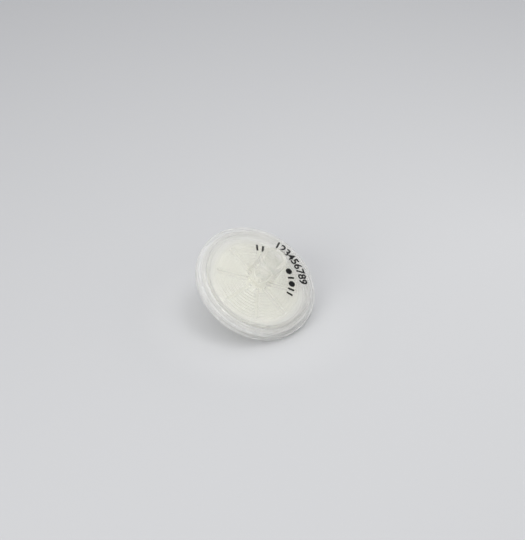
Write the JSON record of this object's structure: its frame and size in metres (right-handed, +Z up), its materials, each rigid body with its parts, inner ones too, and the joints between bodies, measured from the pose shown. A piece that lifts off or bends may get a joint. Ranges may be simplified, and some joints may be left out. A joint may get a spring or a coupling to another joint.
{
  "type": "syringe filter",
  "caption": "Disc filter with a conical female socket on its face and a male nozzle below, lying on its rim and nozzle tip.",
  "frame": {"origin": "middle of the bounding box's foot, on the surface that the filter lies on", "axes": "+Z up from that surface; the filter's axis leans 31.4 degrees from +Z towards -Y, so the inlet face looks up and to the front; +X along the rim's widest extent"},
  "size_m": [0.033, 0.0292, 0.0218],
  "materials": {
    "shell": "translucent natural polypropylene, moulded, softly glossy",
    "ring": "translucent natural polypropylene, moulded over the flanges",
    "membrane": "matt white porous film"
  },
  "bodies": {
    "root": {"inlet_shell": "shell", "outlet_shell": "shell", "sealing_ring": "ring", "filter_membrane": "membrane"}
  },
  "joints": []
}
